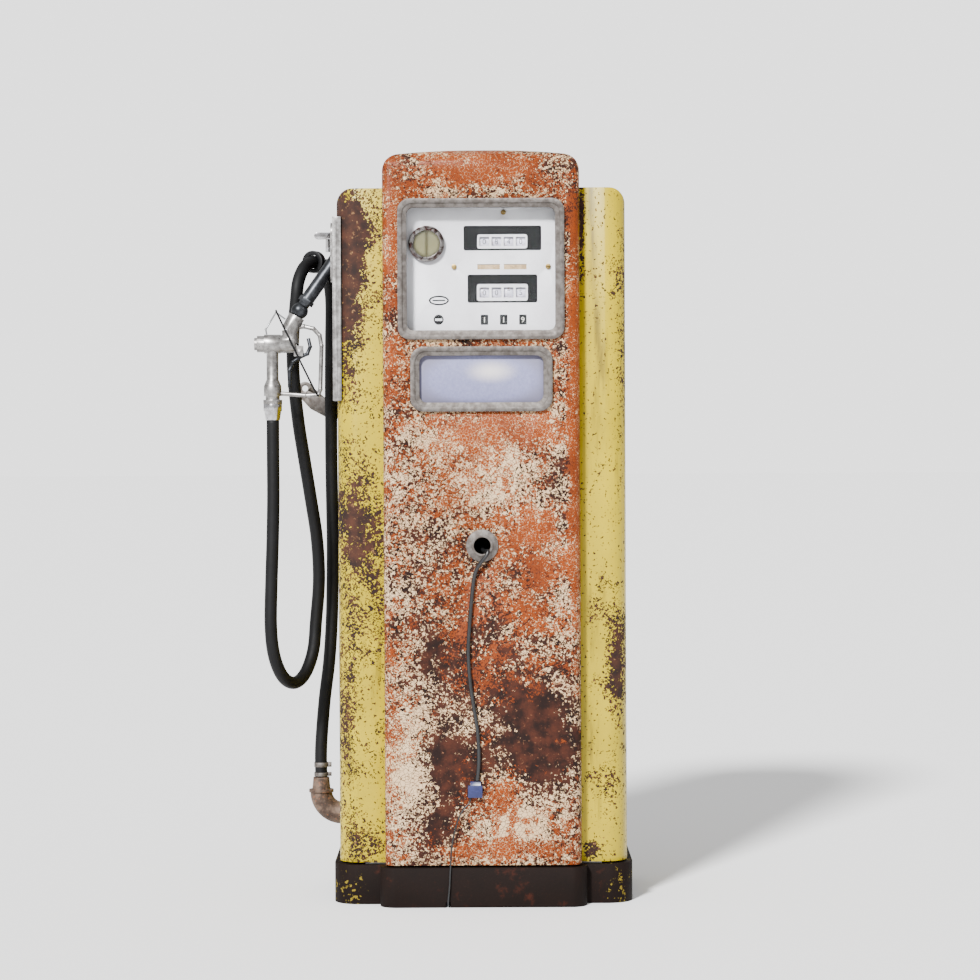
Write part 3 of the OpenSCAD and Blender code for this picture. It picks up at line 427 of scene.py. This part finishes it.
def thin_glass():
    """Glass for the eye, and clear to shadow rays so that the dial behind it stays lit."""
    material, tree, shader, place = start("dial_window_glass", 0.03)
    shader.inputs["Base Color"].default_value = linear("#F6F8F8")
    shader.inputs["Transmission Weight"].default_value = 1.0
    shader.inputs["IOR"].default_value = 1.12
    clear = add(tree, "ShaderNodeBsdfTransparent", None, {"Color": linear("#FFFFFF")}).outputs[0]
    shadow = add(tree, "ShaderNodeLightPath").outputs["Is Shadow Ray"]
    both = add(tree, "ShaderNodeMixShader", None, {0: shadow, 1: shader.outputs[0], 2: clear}).outputs[0]
    tree.links.new(both, tree.nodes["Material Output"].inputs["Surface"])
    return material


def lamp_panel():
    """Frosted lilac sheet with a painted glow of pale light above its middle, and painted shade towards its
    edges.
    """
    material, tree, shader, place = start("frosted_panel_painted_glow", 0.55)
    grain = mix(tree, noise(tree, place, 3, 7, 0.8), "#50527A", "#9091B4")
    # Painted light: a pale patch in the base colour stands in for the glow of a lamp behind the sheet.
    painted_glow = blobs(tree, place, [(20, 1114, 66, 30, 0.7)], 0.0)
    grain = mix(tree, painted_glow, grain, "#DCD4CE")
    # Painted shade: the colour darkens towards the sheet's edges, inside the bezel.
    rim = blobs(tree, place, [(0, 1098, 175, 75, 1.0)], 0.0)
    colour_in(tree, shader, mix(tree, step(tree, rim, 0.05, 0.42), "#66647A", grain))
    bump(tree, shader, noise(tree, place, 3, 3), 0.2, 0.5)
    return material


FINISHES["glass"] = thin_glass()
FINISHES["milk_glass"] = lamp_panel()
print(len(FINISHES), "finishes")

# %% [markdown]
# ## Dressing the CAD
# Each CAD piece is smoothed across its curved faces and given a small rounded edge, as pressed sheet and
# castings have. Its finish comes from its own slot, and the two side cabinets and a few pieces choose by
# name.

# %% Edges and finishes on the CAD pieces
def sight_window(name, x):
    """A pitted chrome ring, and inside it an olive glass with a darker upright strip down its middle and
    painted shade next to the ring.
    """
    material, tree, shader, place = start(name, 0.2)
    axes = add(tree, "ShaderNodeSeparateXYZ", None, {0: place})
    across = math_node(tree, "SUBTRACT", axes.outputs[0], x * MM)
    up = math_node(tree, "SUBTRACT", axes.outputs[2], 1.380)
    out = math_node(tree, "SQRT", math_node(tree, "ADD", math_node(tree, "MULTIPLY", across, across),
                                            math_node(tree, "MULTIPLY", up, up)))
    ring = step(tree, out, 0.0275, 0.0285)
    metal = mix(tree, step(tree, noise(tree, place, 6, 6), 0.42, 0.6), "#8E8886", "#3C2622")
    olive = mix(tree, noise(tree, place, 30, 4), "#4E4A34", "#6E6A4E")
    middle_strip = step(tree, math_node(tree, "ABSOLUTE", across), 0.0, 0.006)
    olive = mix(tree, middle_strip, "#38341F", olive)
    # Painted shade: the glass darkens towards the chrome ring around it.
    olive = mix(tree, step(tree, out, 0.020, 0.028), olive, "#35321F")
    colour_in(tree, shader, mix(tree, ring, olive, metal))
    tree.links.new(ring, shader.inputs["Metallic"])
    return material


tan_slot = plain("tarnished_brass_slot", "#B49A78", "#8C7452", 0.5, 0.4, 8)
BY_NAME = {"left_panel": yellow_left, "right_panel": yellow_right,
           "front_sight_glass": sight_window("front_sight_window", -113),
           "rear_sight_glass": sight_window("rear_sight_window", 113)}
edge_mm = {"base_skirt": 2.5, "crown": 1.2, "front_door": 1.2, "rear_door": 1.2, "left_panel": 1.2,
           "right_panel": 1.2, "nozzle_body": 1.0, "nozzle_boot": 1.2}
for name, piece in nodes.items():
    mesh = piece.data
    mesh.polygons.foreach_set("use_smooth", [True] * len(mesh.polygons))
    mesh.set_sharp_from_angle(angle=math.radians(32))
    weld = piece.modifiers.new("weld", "WELD")
    weld.merge_threshold = 0.00002
    bevel = piece.modifiers.new("edge", "BEVEL")
    bevel.width = edge_mm.get(name, 0.4) * MM
    bevel.segments = 2
    bevel.limit_method = "ANGLE"
    bevel.angle_limit = math.radians(40)
    bevel.harden_normals = True
    for place_in_list, old in enumerate(mesh.materials):
        found = next((s for s in FINISHES if old and old.name.split(".")[0] == s), None)
        if found:
            mesh.materials[place_in_list] = FINISHES[found]
    if name in BY_NAME:
        mesh.materials.clear()
        mesh.materials.append(BY_NAME[name])
print("dressed", len(nodes), "pieces; left over:",
      sorted({m.name for o in nodes.values() for m in o.data.materials if m and m.name in FINISHES}))

# %% Hose and cables take their places
hose, hose_line, _ = cords["delivery_hose"]
hose.data.materials.append(FINISHES["rubber"])
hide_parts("hose")
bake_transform(hose)
cable, cable_line, _ = cords["lock_cable"]
wire, wire_line, _ = cords["thin_wire"]
for piece in (cable, wire):
    piece.data.materials.append(FINISHES["black_plastic"])
    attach(piece, "front_door")
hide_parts("power_cable")

# %% [markdown]
# ## Printed and applied pieces
# The dial carries two black plaques with white counter frames, two tan slots, an oval and a round badge.
# They are thin plates cut from rounded outlines. The number wheels get their digits wrapped round the
# rim, so they turn with the wheel. The rear face carries the same set, turned half a turn about the
# pump's upright axis.

# %% Thin plates with windows
def rounded(cx, cz, width, height, r, steps=5):
    """Points of a rounded rectangle in the dial plane, in millimetres."""
    r = min(r, width / 2 - 0.01, height / 2 - 0.01)
    points = []
    for sx, sz, a0 in ((1, 1, 0), (-1, 1, 90), (-1, -1, 180), (1, -1, 270)):
        for k in range(steps + 1):
            a = math.radians(a0 + 90 * k / steps)
            points.append((cx + sx * (width / 2 - r) + r * math.cos(a),
                           cz + sz * (height / 2 - r) + r * math.sin(a)))
    return points


def oval(cx, cz, width, height, sides=40):
    return [(cx + width / 2 * math.cos(2 * math.pi * k / sides),
             cz + height / 2 * math.sin(2 * math.pi * k / sides))
            for k in range(sides)]


def curve_to_mesh(curve, name):
    """The filled shape of a curve or text object as a mesh."""
    maker = bpy.data.objects.new("maker", curve)
    bpy.context.scene.collection.objects.link(maker)
    bpy.context.view_layer.update()
    mesh = bpy.data.meshes.new_from_object(maker.evaluated_get(bpy.context.evaluated_depsgraph_get()))
    bpy.data.objects.remove(maker)
    mesh.name = name
    return mesh


def plate(name, outline, holes, face_y, thick, material):
    """A flat plate facing the front, from an outline and its windows, and its twin on the rear face."""
    curve = bpy.data.curves.new(name, "CURVE")
    curve.dimensions, curve.fill_mode, curve.extrude = "2D", "BOTH", thick / 2 * MM
    for ring in [outline] + list(holes):
        spline = curve.splines.new("POLY")
        spline.points.add(len(ring) - 1)
        for point, (x, z) in zip(spline.points, ring):
            point.co = (x * MM, z * MM, 0, 1)
        spline.use_cyclic_u = True
    mesh = curve_to_mesh(curve, name)
    mesh.transform(Matrix.Translation((0, (face_y + thick / 2) * MM, 0))
                   @ Matrix.Rotation(math.pi / 2, 4, "X"))
    mesh.materials.clear()
    mesh.materials.append(material)
    for side in ("front", "rear"):
        copy = mesh if side == "front" else mesh.copy()
        if side == "rear":
            copy.transform(Matrix.Rotation(math.pi, 4, "Z"))
        piece = bpy.data.objects.new(side + "_" + name, copy)
        bpy.context.scene.collection.objects.link(piece)
        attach(piece, "root")


# %% Plaques, frames, slots and badges
FIRST_WHEEL, WHEEL_PITCH, PRICE_PITCH = 7, 25.3, 40        # mm along the dial
COST_Z, VOLUME_Z, PRICE_Z = 1384, 1279, 1223               # mm above the floor
black, white = FINISHES["black_enamel"], FINISHES["white_enamel"]
cost_windows = [rounded(FIRST_WHEEL + WHEEL_PITCH * i, COST_Z, 20, 18.5, 1) for i in range(4)]
volume_windows = [rounded(FIRST_WHEEL + WHEEL_PITCH * i, VOLUME_Z, 20, 21, 1) for i in range(4)]
plate("cost_border", rounded(45, 1391, 166, 55, 5), [rounded(45, 1391, 162, 51, 4)], -198.5, 0.7, white)
plate("cost_plaque", rounded(45, 1391, 164, 53, 4), [rounded(44.5, COST_Z, 104, 29, 5)], -198.3, 0.6, black)
plate("cost_frame", rounded(44.5, COST_Z, 104, 29, 5), cost_windows, -198.5, 0.8, white)
plate("volume_plaque", rounded(44.7, 1287, 145.5, 58, 4), [rounded(44.5, VOLUME_Z, 106, 34.5, 5)], -198.3,
      0.6, black)
plate("volume_frame", rounded(44.5, VOLUME_Z, 106, 34.5, 5), volume_windows, -198.5, 0.8, white)
for i, x in enumerate((15.95, 71.6)):
    plate(f"tan_slot_{i}", rounded(x, 1331.6, 47, 9.8, 0.6), [], -198.4, 0.7, tan_slot)
    plate(f"slot_line_{i}", rounded(x, 1336.8, 48.6, 0.9, 0.4), [], -198.6, 0.9, black)
for i in range(3):
    x = FIRST_WHEEL + PRICE_PITCH * i
    plate(f"price_rim_{i}", rounded(x, PRICE_Z, 15.5, 20.5, 1), [rounded(x, PRICE_Z, 13.5, 18.5, 0.6)],
          -198.5, 0.8,
          black)
plate("oval_badge", oval(-88, 1263, 42, 20), [oval(-88, 1263, 35, 13.5)], -198.4, 0.7, black)
plate("oval_bar", rounded(-88, 1263, 27, 2.6, 1.2), [], -198.4, 0.7, black)
plate("round_badge", oval(-88.6, 1223.5, 21, 21), [rounded(-88.6, 1223.5, 15, 5, 0.5)], -198.4, 0.7, black)
print("plaques and badges placed")


# %% Digits round the wheels
def digit_mesh(text, height):
    """One flat digit, height mm high, with its centre at the origin."""
    curve = bpy.data.curves.new("digit_" + text, "FONT")
    curve.body, curve.size, curve.align_x = text, height * MM / 0.72, "CENTER"
    mesh = curve_to_mesh(curve, "digit_" + text)
    low = min(v.co.y for v in mesh.vertices)
    high = max(v.co.y for v in mesh.vertices)
    for v in mesh.vertices:
        v.co.y -= (low + high) / 2
    return mesh


ink = plain("number_ink", "#24242A", "#3C3B44", 0.5)
white_ink = plain("white_number_ink", "#E4E2DC", "#BDBAB2", 0.5)
digits = {str(d): digit_mesh(str(d), 11.5) for d in range(10)}


def wheel_digits(name, body, wheels, axis_z, way):
    """Digits 0 to 9 round the rim of each wheel. wheels lists (centre x mm, digit shown at rest)."""
    points, faces = [], []
    reach = 24.15 * MM              # just proud of a wheel 48 mm across
    for x, shown in wheels:
        for d in range(10):
            mesh = digits[str(d)]
            first = len(points)
            for v in mesh.vertices:
                a = v.co.y / reach + math.radians(36) * (d - shown)
                points.append((x * MM * way + v.co.x * way, -way * (0.170 + reach * math.cos(a)),
                               axis_z * MM + reach * math.sin(a)))
            faces += [tuple(first + i for i in p.vertices) for p in mesh.polygons]
    piece = new_mesh(name, points, faces, smooth=False)
    piece.data.materials.append(ink)
    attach(piece, body)


for bank, z, shown in (("cost", COST_Z, (0, 8, 4, 0)), ("volume", VOLUME_Z, (0, 0, 7, 5))):
    wheels = [(FIRST_WHEEL + WHEEL_PITCH * i, shown[i]) for i in range(4)]
    for i in range(4):
        wheel_digits(f"{bank}_digits_{i + 1}", f"{bank}_wheel_{i + 1}", wheels[i:i + 1], z, 1)
    wheel_digits(f"rear_{bank}_digits", f"rear_{bank}_wheels", wheels, z, -1)
for i, text in enumerate("119"):
    for way in (1, -1):
        mesh = digits[text].copy()
        mesh.transform(Matrix.Rotation(0 if way == 1 else math.pi, 4, "Z")
                       @ Matrix.Translation(((FIRST_WHEEL + PRICE_PITCH * i) * MM, -0.1952,
                                             PRICE_Z * MM)) @ Matrix.Rotation(math.pi / 2, 4, "X"))
        mesh.materials.clear()
        mesh.materials.append(white_ink)
        piece = bpy.data.objects.new(f"price_digit_{i}_{'front' if way == 1 else 'rear'}", mesh)
        bpy.context.scene.collection.objects.link(piece)
        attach(piece, "root")
for mesh in digits.values():
    bpy.data.meshes.remove(mesh)
print("digits on", 16, "wheels and 6 price drums")

# %% Rubber strap on the nozzle
strap_line = smooth_line([(-432, -127, 1246), (-428, -130, 1236), (-392, -131, 1160), (-352, -128, 1078),
                          (-345, -112, 1066)], 6)
strap = tube("nozzle_strap", strap_line, 0.004, 12)
strap.data.materials.append(FINISHES["rubber"])
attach(strap, "nozzle")
print("strap", round(line_length(strap_line), 3), "m")

# %% [markdown]
# ## Floor and light
# A pale floor that runs out of sight, a white surround and one soft key light from the front left, so the
# shadow falls behind the pump to the right.

# %% Studio
floor = new_mesh("floor", [(-30, -30, 0), (30, -30, 0), (30, 60, 0), (-30, 60, 0)], [(0, 1, 2, 3)],
                 smooth=False)
floor_paint, floor_tree, floor_shader, _ = start("pale_floor", 0.9)
floor_shader.inputs["Base Color"].default_value = linear("#F3F3F3")
floor.data.materials.append(floor_paint)
floor.location.z = -0.0005
world = bpy.data.worlds.new("white_studio")
world.use_nodes = True
backdrop = world.node_tree.nodes["Background"]
backdrop.inputs["Color"].default_value = linear("#FFFFFF")
seen = add(world.node_tree, "ShaderNodeLightPath").outputs["Is Camera Ray"]
level = add(world.node_tree, "ShaderNodeMapRange", None, {"Value": seen, "To Min": 0.85,
                                                          "To Max": 2.25}).outputs[0]
world.node_tree.links.new(level, backdrop.inputs["Strength"])
bpy.context.scene.world = world
key_data = bpy.data.lights.new("key", "SUN")
key_data.energy, key_data.angle = 9.4, math.radians(8)
key = bpy.data.objects.new("key", key_data)
key.rotation_euler = Vector((0.38, 0.90, -0.66)).to_track_quat("-Z", "Y").to_euler()
bpy.context.scene.collection.objects.link(key)
print("studio lit")
